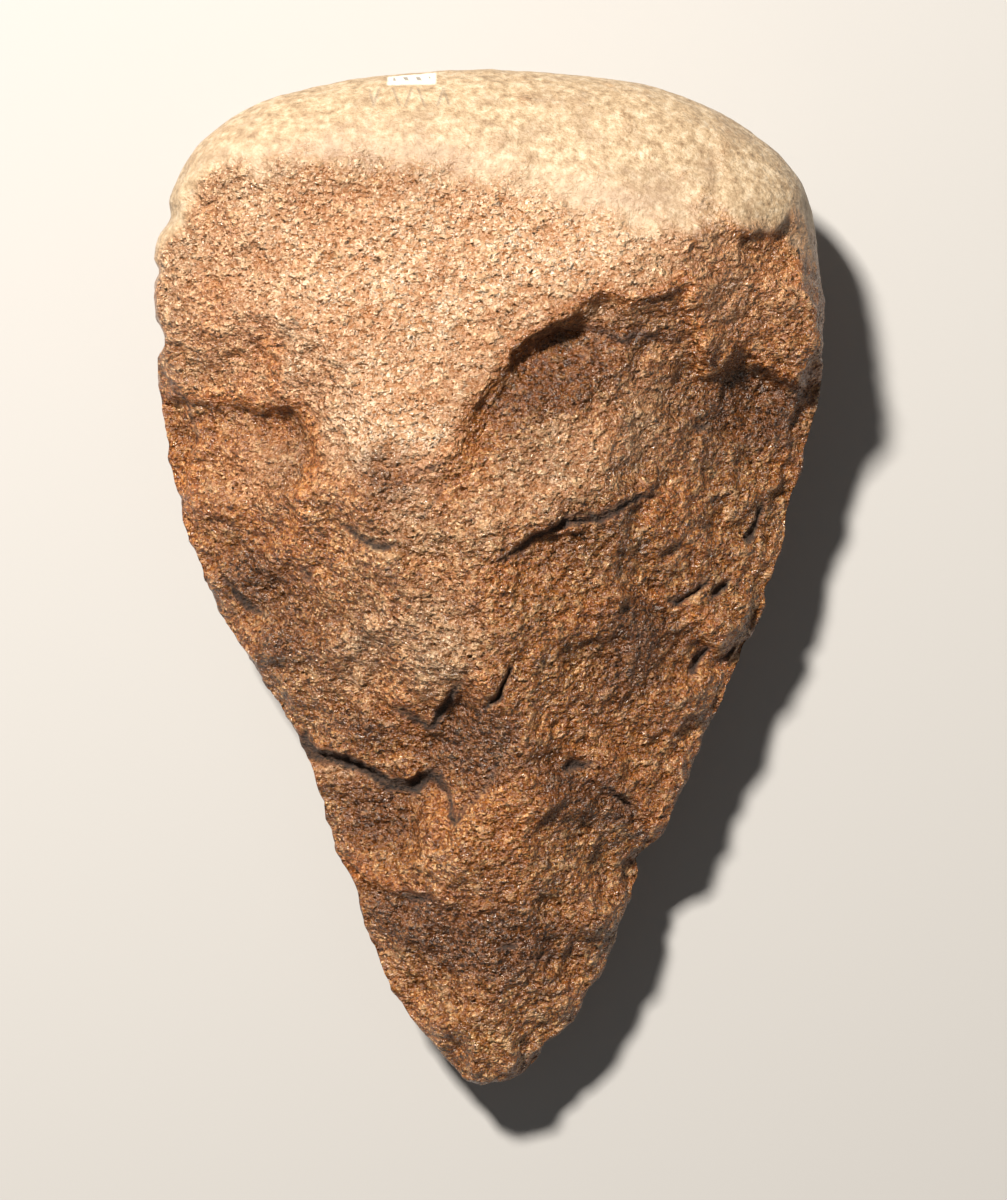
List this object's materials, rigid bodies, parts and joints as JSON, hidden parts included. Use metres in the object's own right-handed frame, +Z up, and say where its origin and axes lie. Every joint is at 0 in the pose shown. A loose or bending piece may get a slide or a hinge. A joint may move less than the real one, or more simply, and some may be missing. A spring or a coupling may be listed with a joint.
{
  "type": "stone hand axe",
  "caption": "Pointed stone hand axe, flaked over both faces, with the pebble's smooth skin left on its broad butt, lying on its flatter face.",
  "frame": {"origin": "on the ground under the middle of the outline, with the stone lying on the flatter of its faces", "axes": "+Y along the stone from the tip to the butt, +X across it to the right seen from above with the butt at the top, +Z up, through the upper face"},
  "size_m": [0.1114, 0.17, 0.0473],
  "materials": {
    "quartzite": "coarse broken quartzite, orange-brown and slightly glittering, with a smoother pale buff skin at the butt"
  },
  "bodies": {
    "root": {"hand_axe": "quartzite"}
  },
  "joints": []
}
